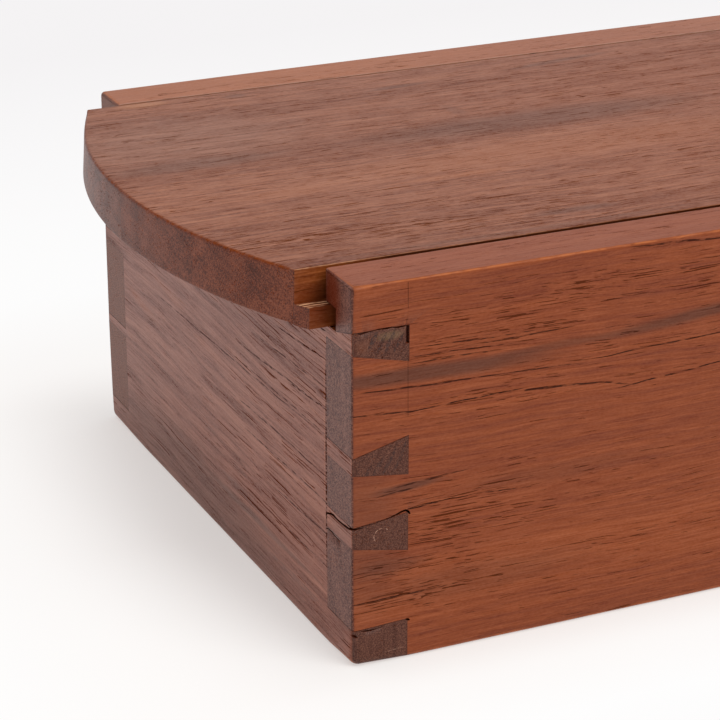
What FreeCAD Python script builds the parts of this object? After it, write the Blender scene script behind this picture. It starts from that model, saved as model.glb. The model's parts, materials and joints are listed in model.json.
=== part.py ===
import FreeCAD, Part
import math
import os
import re
import Sketcher

# A box with a sliding lid. Two side boards carry dovetail tails, two end boards carry the pins between them, and the
# lid's tongues run in grooves near the top of the sides. The open end board is cut low so that the lid passes over
# it, and the bowed end of the lid stands out there as its pull. Frame: +X along the box to its closed end, +Z up,
# origin at the middle of the whole outline, on the surface that the box stands on. Lengths are in millimetres.

sizes = {
    "box_length": 300,  # case, over both end boards
    "box_width": 141,  # case, over both side boards
    "box_height": 81,
    "side_thickness": 12.2,
    "end_thickness": 12.1,
    "arris": 0.5,  # radius of the softened outer edges of the case
    "bottom_thickness": 3.5,
    "bottom_rise": 2,  # from the base up to the bottom panel
    "bottom_groove": 4,  # depth of the grooves that hold the bottom panel
    "bottom_slack": 0.5,  # room left at the bottom of those grooves for the panel to swell
    "lid_thickness": 11.3,
    "lid_play": 0.25,  # above and below the lid's tongues
    "lid_groove": 4.6,  # depth of the grooves that hold the lid
    "tongue_thickness": 4.3,
    "tongue_reach": 3.5,  # from the lid's front and rear shoulders to the edge of its tongue
    "shoulder_gap": 1.5,  # between the lid's front shoulder and the front side
    "back_shoulder_gap": 0.5,  # the same at the back
    "stop_gap": 0.4,  # between the lid's rear shoulder and the closed end
    "lid_arris": 0.5,  # radius of the softened edges of the lid
    "front_board_width": 61.8,  # front board of the lid, over its tongue
    "bow_radius": 134,
    "bow_reach": 20.2,  # how far the bow stands out past the open end
    "bow_offset": 2.8,  # from the middle of the box's width to the middle of the bow
    "pin_crest": 2.2,  # how far the open end's top pins rise beside the lid's grooves
    "pin_slack": 0.1,  # sliver left over a pin by the saw
    "chip_width": 0.7,  # chip at the root of the open end's front top pin
    "chip_height": 3.7,
    "chip_depth": 2.5,
    # Pins at the front side: width at the outer face, how far the faces open towards the root, and place, as a
    # share of the height up to the lid's grooves
    "front_bottom_pin": 8.2,
    "front_bottom_pin_flare": 0.5,
    "front_lower_pin": 4.5,
    "front_lower_pin_place": 0.411,
    "front_lower_pin_flare_up": 1.4,
    "front_lower_pin_flare_down": 2.4,
    "front_upper_pin": 3.6,
    "front_upper_pin_place": 0.63,
    "front_upper_pin_flare_up": 3.1,
    "front_upper_pin_flare_down": 1.6,
    "front_top_pin": 2.45,
    "front_top_pin_flare": 2.8,
    # Pins at the back side
    "back_bottom_pin": 5.9,
    "back_bottom_pin_flare": 1.2,
    "back_lower_pin": 1.9,
    "back_lower_pin_place": 0.37,
    "back_lower_pin_flare_up": 1.8,
    "back_lower_pin_flare_down": 2.1,
    "back_upper_pin": 3.2,
    "back_upper_pin_place": 0.674,
    "back_upper_pin_flare_up": 2.4,
    "back_upper_pin_flare_down": 1.9,
    "back_top_pin": 2.6,
    "back_top_pin_flare": 2.2,
    "closed_top_pin": 5.5,  # top pins of the closed end, which reach the top of the box
}

# Places worked out from the sizes
open_face = "(bow_reach - box_length) / 2"  # outer face of the open end, along X
front_face = "-box_width / 2"  # outer face of the front side, along Y
lid_level = "box_height - lid_thickness"  # underside of the lid
groove_floor = "box_height - lid_thickness - lid_play"
groove_height = "tongue_thickness + 2 * lid_play"
inner_length = "box_length - 2 * end_thickness"
inner_width = "box_width - 2 * side_thickness"
panel_reach = "bottom_groove - bottom_slack"  # how far the bottom panel enters its grooves
tongue_front = "side_thickness + shoulder_gap - tongue_reach"  # from the case's front face
shoulder_front = "side_thickness + shoulder_gap"
glue_line = "side_thickness + shoulder_gap - tongue_reach + front_board_width"
tongue_back = "box_width - side_thickness - shoulder_gap + tongue_reach"
shoulder_back = "box_width - side_thickness - back_shoulder_gap"
rear_shoulder = "bow_reach + box_length - end_thickness - stop_gap"  # from the crown of the bow

doc = FreeCAD.newDocument("SlidingLidBox")
sheet = doc.addObject("Spreadsheet::Sheet", "Sizes")
for row, (alias, value) in enumerate(sizes.items(), start=1):
    sheet.set(f"A{row}", alias)
    sheet.set(f"B{row}", str(value))
    sheet.setAlias(f"B{row}", alias)
doc.recompute()


def named(expression):
    """The expression with each size written as the sheet's own."""
    return re.sub(r"[a-z_]+", lambda word: "Sizes." + word[0] if word[0] in sizes else word[0], expression)


def value_of(expression):
    """What the expression comes to with the sheet's sizes."""
    return float(sheet.evalExpression(named(expression)))


def bind(item, name, expression):
    item.setExpression(name, named(expression))


def new_body(name, x, y, z):
    body = doc.addObject("PartDesign::Body", name)
    body.Label = name
    bind(body, "Placement.Base.x", x)
    bind(body, "Placement.Base.y", y)
    bind(body, "Placement.Base.z", z)
    return body


def new_sketch(body, name, role, offset="0"):
    """A sketch on one of the body's own planes, moved along the plane's normal."""
    plane = next(item for item in body.Origin.OriginFeatures if item.Role == role)
    sketch = body.newObject("Sketcher::SketchObject", name)
    sketch.AttachmentSupport = (plane, [""])
    sketch.MapMode = "FlatFace"
    bind(sketch, ".AttachmentOffset.Base.z", offset)
    return sketch


def measure(sketch, kind, edge, end, expression):
    """Holds a point of the sketch at a distance from its origin, along X or Y."""
    if abs(value_of(expression)) < 1e-9:
        axis = {"DistanceX": -2, "DistanceY": -1}[kind]
        sketch.addConstraint(Sketcher.Constraint("PointOnObject", edge, end, axis))
        return
    number = sketch.addConstraint(Sketcher.Constraint(kind, -1, 1, edge, end, value_of(expression)))
    bind(sketch, f"Constraints[{number}]", expression)


def add_outline(sketch, corners):
    """A closed outline of straight edges through corners, each a pair of expressions."""
    first = sketch.GeometryCount
    points = [FreeCAD.Vector(value_of(across), value_of(up), 0) for across, up in corners]
    for start, end in zip(points, points[1:] + points[:1]):
        sketch.addGeometry(Part.LineSegment(start, end))
    for number, (across, up) in enumerate(corners):
        before = first + (number - 1) % len(corners)
        sketch.addConstraint(Sketcher.Constraint("Coincident", before, 2, first + number, 1))
        measure(sketch, "DistanceX", first + number, 1, across)
        measure(sketch, "DistanceY", first + number, 1, up)


def add_rectangle(sketch, left, right, low, high):
    add_outline(sketch, [(left, low), (right, low), (right, high), (left, high)])


def add_bow(sketch, low, high, rear):
    """A plan of the lid between two lines along its length: the bow, two long edges and a straight rear edge."""
    radius = value_of("bow_radius")
    middle = value_of("box_width / 2 + bow_offset")
    centre = FreeCAD.Vector(radius, middle, 0)
    ends = []
    for side in (high, low):
        drop = value_of(side) - middle
        ends.append(FreeCAD.Vector(radius - math.sqrt(radius**2 - drop**2), value_of(side), 0))
    angles = [math.atan2(end.y - centre.y, end.x - centre.x) % (2 * math.pi) for end in ends]
    circle = Part.Circle(centre, FreeCAD.Vector(0, 0, 1), radius)
    back = value_of(rear)
    corners = [FreeCAD.Vector(back, ends[1].y, 0), FreeCAD.Vector(back, ends[0].y, 0)]
    bow = sketch.addGeometry(Part.ArcOfCircle(circle, *angles))
    low_edge = sketch.addGeometry(Part.LineSegment(ends[1], corners[0]))
    rear_edge = sketch.addGeometry(Part.LineSegment(corners[0], corners[1]))
    high_edge = sketch.addGeometry(Part.LineSegment(corners[1], ends[0]))
    for one, other in ((bow, low_edge), (low_edge, rear_edge), (rear_edge, high_edge), (high_edge, bow)):
        sketch.addConstraint(Sketcher.Constraint("Coincident", one, 2, other, 1))
    measure(sketch, "DistanceX", bow, 3, "bow_radius")
    measure(sketch, "DistanceY", bow, 3, "box_width / 2 + bow_offset")
    number = sketch.addConstraint(Sketcher.Constraint("Radius", bow, radius))
    bind(sketch, f"Constraints[{number}]", "bow_radius")
    sketch.addConstraint(Sketcher.Constraint("Horizontal", low_edge))
    sketch.addConstraint(Sketcher.Constraint("Vertical", rear_edge))
    sketch.addConstraint(Sketcher.Constraint("Horizontal", high_edge))
    measure(sketch, "DistanceX", rear_edge, 1, rear)
    measure(sketch, "DistanceY", rear_edge, 1, low)
    measure(sketch, "DistanceY", rear_edge, 2, high)


def add_feature(body, kind, sketch, length, backwards):
    """A pad or a pocket of the sketch, checked to change the body's volume the right way."""
    before = body.Shape.Volume if body.Tip else 0
    feature = body.newObject(f"PartDesign::{kind}", f"{sketch.Name}{kind}")
    feature.Profile = sketch
    feature.Reversed = backwards
    bind(feature, "Length", length)
    body.Tip = feature
    doc.recompute()
    change = body.Shape.Volume - before
    if (change > 0) != (kind == "Pad") or abs(change) < 0.1:
        raise RuntimeError(f"{feature.Name} changes the volume by {change:.2f} mm3")


def pad(body, sketch, length, backwards=False):
    add_feature(body, "Pad", sketch, length, backwards)


def pocket(body, sketch, length, backwards=False):
    add_feature(body, "Pocket", sketch, length, backwards)


def soften(body, name, radius, chosen):
    """Rounds the chosen edges of the body."""
    base = body.Tip
    edges = [f"Edge{number}" for number, edge in enumerate(base.Shape.Edges, start=1) if chosen(edge)]
    fillet = body.newObject("PartDesign::Fillet", name)
    fillet.Base = (base, edges)
    bind(fillet, "Radius", radius)
    body.Tip = fillet
    doc.recompute()


def on_planes(edge, planes):
    """How many of the planes, each an axis and an expression, hold both ends of the edge."""
    return sum(
        all(abs(vertex.Point[axis] - value_of(place)) < 1e-6 for vertex in edge.Vertexes) for axis, place in planes
    )


def pin_outlines(side, end, slack="0"):
    """The pins at one corner, as corners of (depth in from the end's outer face, height).

    A socket is the same outline with a sliver of slack over it.
    """

    def outline(low, high, flare_down, flare_up):
        return [
            ("0", low),
            ("0", high),
            ("end_thickness", f"{high} + {flare_up}"),
            ("end_thickness", f"{low} - {flare_down}"),
        ]

    pins = [outline("0", f"{side}_bottom_pin + {slack}", "0", f"{side}_bottom_pin_flare")]
    for name in (f"{side}_lower_pin", f"{side}_upper_pin"):
        middle = f"{name}_place * ({groove_floor})"
        low = f"{middle} - {name} / 2"
        high = f"{middle} + {name} / 2 + {slack}"
        pins.append(outline(low, high, f"{name}_flare_down", f"{name}_flare_up"))
    top, width = (groove_floor, f"{side}_top_pin") if end == "open" else ("box_height", "closed_top_pin")
    pins.append(outline(f"{top} - {width}", top, f"{side}_top_pin_flare", "0"))
    return pins


def mirrored(outlines, length):
    """The outlines as they stand at the closed end of a piece of this length."""
    return [[(f"{length} - ({depth})", height) for depth, height in outline] for outline in outlines]


def crest_outline(outer, inner, slack="0"):
    """The sloping crest of an open-end top pin, in the box's cross-section."""
    return [(outer, groove_floor), (outer, f"{groove_floor} + pin_crest + {slack}"), (inner, groove_floor)]


def side_board(side):
    """A long side: dovetail sockets at both ends, the lid's groove and the bottom panel's groove inside."""
    front = side == "front"
    name = f"Side{side.title()}"
    y = front_face if front else "box_width / 2 - side_thickness"
    body = new_body(f"side_{side}", open_face, y, "0")
    outer, inner = ("0", "side_thickness") if front else ("side_thickness", "0")

    blank = new_sketch(body, f"{name}Blank", "XZ_Plane")
    add_rectangle(blank, "0", "box_length", "0", "box_height")
    pad(body, blank, "side_thickness", backwards=True)

    open_sockets = new_sketch(body, f"{name}OpenSockets", "XZ_Plane")
    for outline in pin_outlines(side, "open", "pin_slack"):
        add_outline(open_sockets, outline)
    pocket(body, open_sockets, "side_thickness")

    closed_sockets = new_sketch(body, f"{name}ClosedSockets", "XZ_Plane")
    for outline in mirrored(pin_outlines(side, "closed", "pin_slack"), "box_length"):
        add_outline(closed_sockets, outline)
    pocket(body, closed_sockets, "side_thickness")

    groove_edge = "side_thickness - lid_groove" if front else "lid_groove"
    lid_groove = new_sketch(body, f"{name}LidGroove", "YZ_Plane")
    lid_groove_span = sorted([groove_edge, inner], key=value_of)
    add_rectangle(lid_groove, *lid_groove_span, groove_floor, f"{groove_floor} + {groove_height}")
    pocket(body, lid_groove, "box_length - end_thickness", backwards=True)

    crest = new_sketch(body, f"{name}Crest", "YZ_Plane")
    add_outline(crest, crest_outline(outer, groove_edge, "pin_slack"))
    pocket(body, crest, "end_thickness", backwards=True)

    bottom_edge = "side_thickness - bottom_groove" if front else "bottom_groove"
    bottom_span = sorted([bottom_edge, inner], key=value_of)
    bottom_groove = new_sketch(body, f"{name}BottomGroove", "YZ_Plane", "end_thickness")
    add_rectangle(bottom_groove, *bottom_span, "bottom_rise", "bottom_rise + bottom_thickness")
    pocket(body, bottom_groove, inner_length, backwards=True)

    faces = [(0, "0"), (0, "box_length"), (1, outer), (2, "0"), (2, "box_height")]
    soften(body, f"{name}Arrises", "arris", lambda edge: on_planes(edge, faces) >= 2)
    return body


def end_board(end):
    """An end: a web between the sides, and pins through both of them."""
    is_open = end == "open"
    name = f"End{end.title()}"
    x = open_face if is_open else f"{open_face} + box_length - end_thickness"
    height = groove_floor if is_open else "box_height"
    outer, inner = ("0", "end_thickness") if is_open else ("end_thickness", "0")
    body = new_body(f"end_{end}", x, front_face, "0")

    web = new_sketch(body, f"{name}Web", "XZ_Plane", "-side_thickness")
    add_rectangle(web, "0", "end_thickness", "0", height)
    pad(body, web, inner_width, backwards=True)

    for side, offset in (("front", "0"), ("back", "side_thickness - box_width")):
        pins = new_sketch(body, f"{name}{side.title()}Pins", "XZ_Plane", offset)
        outlines = pin_outlines(side, end)
        for outline in outlines if is_open else mirrored(outlines, "end_thickness"):
            add_outline(pins, outline)
        pad(body, pins, "side_thickness", backwards=True)

    if is_open:
        crest_inner = "side_thickness - lid_groove"
        for side, edges in (("Front", ("0", crest_inner)), ("Back", ("box_width", f"box_width - ({crest_inner})"))):
            crest = new_sketch(body, f"{name}{side}Crest", "YZ_Plane")
            add_outline(crest, crest_outline(*edges))
            pad(body, crest, "end_thickness")
        chip = new_sketch(body, f"{name}Chip", "XZ_Plane")
        chip_top = f"{groove_floor} + pin_crest"
        add_rectangle(chip, "end_thickness - chip_width", "end_thickness", f"{chip_top} - chip_height", chip_top)
        pocket(body, chip, "chip_depth")
    else:
        lid_groove = new_sketch(body, f"{name}LidGroove", "XZ_Plane", "-side_thickness")
        add_rectangle(lid_groove, "0", "lid_groove", groove_floor, f"{groove_floor} + {groove_height}")
        pocket(body, lid_groove, inner_width)

    near = "end_thickness - bottom_groove" if is_open else "0"
    far = "end_thickness" if is_open else "bottom_groove"
    bottom_groove = new_sketch(body, f"{name}BottomGroove", "XZ_Plane", "bottom_groove - side_thickness")
    add_rectangle(bottom_groove, near, far, "bottom_rise", "bottom_rise + bottom_thickness")
    pocket(body, bottom_groove, f"{inner_width} + 2 * bottom_groove")

    faces = [(0, outer), (1, "0"), (1, "box_width"), (2, "0"), (2, "box_height")]
    soften(body, f"{name}Arrises", "arris", lambda edge: on_planes(edge, faces) >= 2)
    return body


def bottom_panel():
    """A thin panel in the grooves of all four boards."""
    x = f"{open_face} + end_thickness - ({panel_reach})"
    y = f"{front_face} + side_thickness - ({panel_reach})"
    body = new_body("bottom_panel", x, y, "bottom_rise")
    plan = new_sketch(body, "PanelPlan", "XY_Plane")
    length = f"{inner_length} + 2 * ({panel_reach})"
    width = f"{inner_width} + 2 * ({panel_reach})"
    add_rectangle(plan, "0", length, "0", width)
    pad(body, plan, "bottom_thickness")
    return body


def lid_board(side):
    """One of the lid's two boards: a field, a tongue along its outer edge and a tongue at the rear."""
    front = side == "front"
    name = f"Lid{side.title()}"
    body = new_body(f"lid_{side}_board", f"{open_face} - bow_reach", front_face, lid_level)
    tongue_edge = tongue_front if front else tongue_back
    shoulder = shoulder_front if front else shoulder_back
    tongue_span = (tongue_edge, glue_line) if front else (glue_line, tongue_edge)
    field_span = (shoulder, glue_line) if front else (glue_line, shoulder)

    tongue = new_sketch(body, f"{name}Tongue", "XY_Plane")
    add_bow(tongue, *tongue_span, rear_shoulder)
    pad(body, tongue, "tongue_thickness")

    field = new_sketch(body, f"{name}Field", "XY_Plane")
    add_bow(field, *field_span, rear_shoulder)
    pad(body, field, "lid_thickness")

    rear = new_sketch(body, f"{name}RearTongue", "XY_Plane")
    add_rectangle(rear, rear_shoulder, f"{rear_shoulder} + tongue_reach", *field_span)
    pad(body, rear, "tongue_thickness")

    def is_arris(edge):
        on_top = on_planes(edge, [(2, "lid_thickness")])
        under_bow = on_planes(edge, [(2, "0")]) and hasattr(edge.Curve, "Radius")
        return (on_top or under_bow) and not on_planes(edge, [(1, glue_line)])

    soften(body, f"{name}Arrises", "lid_arris", is_arris)
    return body


def check(bodies):
    """Stops on a failed object, or a piece that isn't one whole solid."""
    failed = [item.Name for item in doc.Objects if {"Invalid", "Error"} & set(item.State)]
    if failed:
        raise RuntimeError(f"failed: {failed}")
    for body in bodies:
        shape = body.Shape
        if shape.isNull() or not shape.isValid() or len(shape.Solids) != 1:
            raise RuntimeError(f"{body.Label} isn't one valid solid")


boards = [side_board("front"), side_board("back"), end_board("open"), end_board("closed")]
bodies = boards + [bottom_panel(), lid_board("front"), lid_board("back")]
doc.recompute()
check(bodies)

os.makedirs("parts", exist_ok=True)
for body in bodies:
    body.Shape.exportStep(f"parts/{body.Label}.step")
    box = body.Shape.optimalBoundingBox(False, False)
    print(f"{body.Label}: {box.XLength:.2f} x {box.YLength:.2f} x {box.ZLength:.2f} mm, {body.Shape.Volume:.0f} mm3")
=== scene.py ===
import json
import math

import bmesh
import bpy
from mathutils import Matrix, Vector

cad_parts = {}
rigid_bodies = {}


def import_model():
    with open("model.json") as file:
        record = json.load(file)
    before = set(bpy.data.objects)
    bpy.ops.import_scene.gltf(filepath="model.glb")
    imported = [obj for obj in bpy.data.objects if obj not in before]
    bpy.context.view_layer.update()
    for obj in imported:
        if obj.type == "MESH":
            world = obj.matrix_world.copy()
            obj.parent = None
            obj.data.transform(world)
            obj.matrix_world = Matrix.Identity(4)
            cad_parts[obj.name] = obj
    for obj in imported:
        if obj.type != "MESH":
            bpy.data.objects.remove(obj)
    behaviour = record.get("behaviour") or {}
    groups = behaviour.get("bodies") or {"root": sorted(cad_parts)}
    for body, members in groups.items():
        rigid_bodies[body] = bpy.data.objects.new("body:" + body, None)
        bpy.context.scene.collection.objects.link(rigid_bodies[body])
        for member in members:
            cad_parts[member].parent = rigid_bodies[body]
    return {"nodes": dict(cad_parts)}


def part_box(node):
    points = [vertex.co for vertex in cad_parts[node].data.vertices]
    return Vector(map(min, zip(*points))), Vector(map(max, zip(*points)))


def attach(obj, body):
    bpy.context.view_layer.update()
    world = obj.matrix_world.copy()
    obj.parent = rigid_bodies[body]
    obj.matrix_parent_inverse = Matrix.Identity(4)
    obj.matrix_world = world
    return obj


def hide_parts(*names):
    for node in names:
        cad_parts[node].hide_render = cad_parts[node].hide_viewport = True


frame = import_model()
for item in list(bpy.data.objects):  # whatever the file opened with
    if item.name not in frame["nodes"] and not item.name.startswith("body:"):
        bpy.data.objects.remove(item)
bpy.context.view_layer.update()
mm = 0.001


def hexColour(text):
    channels = [int(text[i : i + 2], 16) / 255 for i in (1, 3, 5)]
    return tuple(c / 12.92 if c <= 0.04045 else ((c + 0.055) / 1.055) ** 2.4 for c in channels) + (1.0,)


def addNode(tree, kind, *inputs, named=None, stops=None, **settings):
    node = tree.nodes.new(kind)
    for key, value in settings.items():
        setattr(node, key, value)
    shown = [socket for socket in node.inputs if socket.enabled]  # the settings hide the others
    for socket, value in [*zip(shown, inputs), *((node.inputs[key], named[key]) for key in named or {})]:
        if isinstance(value, bpy.types.Node):
            value = next(output for output in value.outputs if output.enabled)
        if isinstance(value, bpy.types.NodeSocket):
            tree.links.new(value, socket)
        else:
            socket.default_value = value
    for number, (place, colour) in enumerate(stops or []):
        points = node.color_ramp.elements
        point = points[number] if number < 2 else points.new(place)
        point.position = place
        point.color = colour
    return node


maths = "ShaderNodeMath"  # the commonest kinds of node
vectorMaths = "ShaderNodeVectorMath"
mapRange = "ShaderNodeMapRange"
eased = {"interpolation_type": "SMOOTHSTEP"}

# Camera, at the height of someone seated at the bench, with a long lens
view = {
    "position": (-342.2, -520.6, 266.7),  # mm
    "turn": 25.79,  # degrees from +Y towards +X
    "dip": 23.08,  # degrees below the horizon
    "roll": 0.54,
    "lens": 140.13,
    "shift": (-0.0882, 0.0679),
}
cameraData = bpy.data.cameras.new("benchCamera")
cameraData.lens = view["lens"]
cameraData.sensor_width = 36
cameraData.shift_x, cameraData.shift_y = view["shift"]
camera = bpy.data.objects.new("benchCamera", cameraData)
camera.matrix_world = (
    Matrix.Translation(Vector(view["position"]) * mm)
    @ Matrix.Rotation(math.radians(-view["turn"]), 4, "Z")
    @ Matrix.Rotation(math.radians(90 - view["dip"]), 4, "X")
    @ Matrix.Rotation(math.radians(view["roll"]), 4, "Z")
)
bpy.context.scene.collection.objects.link(camera)
bpy.context.scene.camera = camera
bpy.context.scene.view_settings.view_transform = "Standard"
print("camera ready")


# Studio: white sweep, even light all round, a big softbox high at the front right and a weaker one overhead
studio = {
    "sky": "#f5f3f4",
    "skyLight": 0.60,
    "paper": "#fdfcfb",
    "paperRadius": 5.0,  # m
    "paperDrop": 0.1,  # mm under the box
    "paintedBounceTint": "#fffaf7",  # painted bounce light: the sheet beside the box tinted with the wood's red
    "glowAtBox": 0.47,  # how much of the sheet's own shading its glow hides at the box, seen or mirrored: painted light that pales the shadow
    "glowNear": 0.88,
    "glowFar": 0.99,
    "nearReach": 0.045,  # m from the box
    "warmReach": 0.09,  # where the painted bounce tint has faded
    "skyReach": 0.31,  # where it has taken on the sky's colour
    "frontHaste": 2.5,  # how much sooner the glow rises in front of the box, painting the floor there as light as where the lamps reach
    "cornerGain": 0.008,  # and beside its corners, where it paints the shadow lighter
    "farReach": 0.5,
    "aim": (0, 0, 0.04),  # m, where the softboxes point
    "softboxes": [
        {"name": "keySoftbox", "at": (0.32, -0.88, 1.05), "size": 0.8, "power": 9.5, "colour": "#fffdfa"},
        {"name": "topSoftbox", "at": (-0.05, 0.0, 1.35), "size": 0.6, "power": 2.0, "colour": "#ffffff"},
    ],
}


def isSeenRay(tree):
    path = addNode(tree, "ShaderNodeLightPath")
    seen = path.outputs["Is Camera Ray"]
    for name in ("Is Glossy Ray", "Is Transmission Ray"):
        seen = addNode(tree, maths, seen, path.outputs[name], operation="MAXIMUM")
    return seen


world = bpy.data.worlds.new("whiteStudio")
bpy.context.scene.world = world
world.use_nodes = True
world.node_tree.nodes.clear()
lit = addNode(world.node_tree, "ShaderNodeBackground", hexColour("#ffffff"), studio["skyLight"])
shown = addNode(world.node_tree, "ShaderNodeBackground", hexColour(studio["sky"]), 1.0)
sky = addNode(world.node_tree, "ShaderNodeMixShader", isSeenRay(world.node_tree), lit, shown)
addNode(world.node_tree, "ShaderNodeOutputWorld", sky)

caseLow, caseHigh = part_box("side_front")[0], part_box("side_back")[1]
paper = bpy.data.materials.new("matteWhitePaper")  # seamless background paper: dead matt, nearly white
paper.use_nodes = True
tree = paper.node_tree
tree.nodes.clear()
away = addNode(tree, "ShaderNodeTexCoord").outputs["Object"]
across = addNode(tree, "ShaderNodeSeparateXYZ", away).outputs["Y"]
ahead = addNode(tree, vectorMaths, caseLow, away, operation="SUBTRACT")
ahead = addNode(tree, vectorMaths, ahead, (0, 0, 0), operation="MAXIMUM")
behind = addNode(tree, vectorMaths, away, caseHigh, operation="SUBTRACT")
behind = addNode(tree, vectorMaths, behind, (0, 0, 0), operation="MAXIMUM")
haste = (1, studio["frontHaste"], 1)
away = addNode(tree, vectorMaths, ahead, haste, behind, operation="MULTIPLY_ADD")
away = addNode(tree, vectorMaths, away, operation="LENGTH")
limits = (0.0, (caseHigh.y - caseLow.y) / 2, 0.0, studio["cornerGain"])
beside = addNode(tree, maths, across, operation="ABSOLUTE")
beside = addNode(tree, mapRange, beside, *limits)
away = addNode(tree, maths, away, beside, operation="ADD")
limits = (0.0, studio["nearReach"], studio["glowAtBox"], studio["glowNear"])
near = addNode(tree, mapRange, away, *limits, **eased)
limits = (studio["nearReach"], studio["farReach"], 0.0, studio["glowFar"] - studio["glowNear"])
far = addNode(tree, mapRange, away, *limits)
clear = addNode(tree, maths, near, far, operation="ADD")
part = addNode(tree, maths, clear, isSeenRay(tree), operation="MULTIPLY")
# the glow is tinted warm near the box: painted bounce light from the wood
cool = addNode(tree, mapRange, away, 0.0, studio["warmReach"])
warm, white = hexColour(studio["paintedBounceTint"]), hexColour("#ffffff")
tinted = addNode(tree, "ShaderNodeMix", cool, warm, white, data_type="RGBA")
dim = addNode(tree, mapRange, away, studio["warmReach"], studio["skyReach"])
tinted = addNode(tree, "ShaderNodeMix", dim, tinted, hexColour(studio["sky"]), data_type="RGBA")
sheet = addNode(tree, "ShaderNodeBsdfDiffuse", hexColour(studio["paper"]))
glow = addNode(tree, "ShaderNodeEmission", tinted, 1.0)
addNode(tree, "ShaderNodeOutputMaterial", addNode(tree, "ShaderNodeMixShader", part, sheet, glow))

floorMesh = bpy.data.meshes.new("paperSweep")
outline = bmesh.new()
bmesh.ops.create_circle(outline, cap_ends=True, segments=96, radius=studio["paperRadius"])
bmesh.ops.translate(outline, verts=outline.verts, vec=(0, 0, -studio["paperDrop"] * mm))
outline.to_mesh(floorMesh)
outline.free()
floorMesh.materials.append(paper)
floor = bpy.data.objects.new("paperSweep", floorMesh)
bpy.context.scene.collection.objects.link(floor)

for box in studio["softboxes"]:
    lamp = bpy.data.lights.new(box["name"], "AREA")
    lamp.size = box["size"]
    lamp.energy = box["power"]
    lamp.color = hexColour(box["colour"])[:3]
    holder = bpy.data.objects.new(box["name"], lamp)
    holder.location = box["at"]
    aim = Vector(studio["aim"]) - Vector(box["at"])
    holder.rotation_euler = aim.to_track_quat("-Z", "Y").to_euler()
    bpy.context.scene.collection.objects.link(holder)
print("studio ready")


# Mahogany, hand planed and oiled: red-brown, with darker growth bands, fine fibre streaks and long open pores
# that show as dark dashes along the grain and as dots on the end grain. Lengths are in millimetres.
wood = {
    "dark": "#6a301f",
    "middle": "#843f1d",
    "light": "#9a4f28",
    "pore": "#2e0f06",
    "band": "#573021",
    "endDark": "#3a1f17",
    "endMiddle": "#542c1f",
    "endLight": "#70432e",
    "rubbed": "#bb6833",  # arrises: paler where worn, and a painted highlight
    "darkerCorner": "#3c1a10",  # upright corners, darker
    "rim": "#7c360a",  # the bow's arris
    "rings": (400, 7, 0.24, 0),  # growth bands: length, breadth, share of the tone and of the sheen
    "streaks": (60, 1.1, 0.26, 0.3),
    "fibres": (10, 0.28, 0.32, 1.7),
    "specks": (0.7, 0.32, 0.12, 1.2),
    "mottle": (7, 5, 0.06, 0),
    "spread": 0.155,  # the smaller, the stronger the contrast
    "dulling": {"pore": 0.7},  # how dull the pores and the marks are
    "longPores": (14, 0.27),  # length and breadth of the noise that the pores are cut from
    "shortPores": (5.5, 0.24),
    "poreLevel": 0.75,  # the higher, the fewer the pores
    "poreCrowding": 0.05,  # how much that differs between the crowds of pores and the wood between them
    "crowds": (60, 5),  # length and breadth of the crowds
    "poreEdge": 0.035,  # how soft a pore's edge is
    "poreStrength": 0.7,
    "markEdge": 0.3,  # share of a mark's half size where it starts to fade
    "lineEdge": 0.75,  # the same on lines, which are marks less than 2 mm broad
    "lineBreaks": (2.6, 0.5),  # length and breadth of the noise that breaks them up
    "rubbedPatches": (3, 1),  # and of that which leaves the arrises pale in patches, worn and painted highlight
    "swayNoise": (14, 5),  # length and breadth
    "flutter": 0.9,  # how far the fibres sway with it
    "jitter": (4, 2, 0.25),  # the same for their finest sway
    "wanderNoise": (90, 32),
    "wander": 5,  # how far the whole grain strays with it
    "endRings": (60, 0.8, 0.5),
    "endDots": (8, 0.3, 0.5),
    "endSpread": 0.11,
    "endMottle": 0,
    "endSheen": 3,
    "roughness": 0.42,
    "endRoughness": 0,  # how much rougher the end grain is
    "gloss": 0.3,
    "relief": 0.08,
}


def stretched(tree, source, along, across, rough=0.5):
    # cloudy noise drawn out along the grain
    density = (1 / along, 1 / across, 1 / across)
    scaled = addNode(tree, vectorMaths, source, density, operation="MULTIPLY")
    noise = {"Vector": scaled, "Scale": 1.0, "Detail": 2.0, "Roughness": rough}
    return addNode(tree, "ShaderNodeTexNoise", named=noise)


def strayed(tree, source, along, across, size):
    # the same places, led astray across the grain
    swirl = stretched(tree, source, along, across).outputs["Color"]
    centred = addNode(tree, vectorMaths, swirl, (0.5, 0.5, 0.5), operation="SUBTRACT")
    return addNode(tree, vectorMaths, centred, (0, size, size), source, operation="MULTIPLY_ADD")


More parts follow.
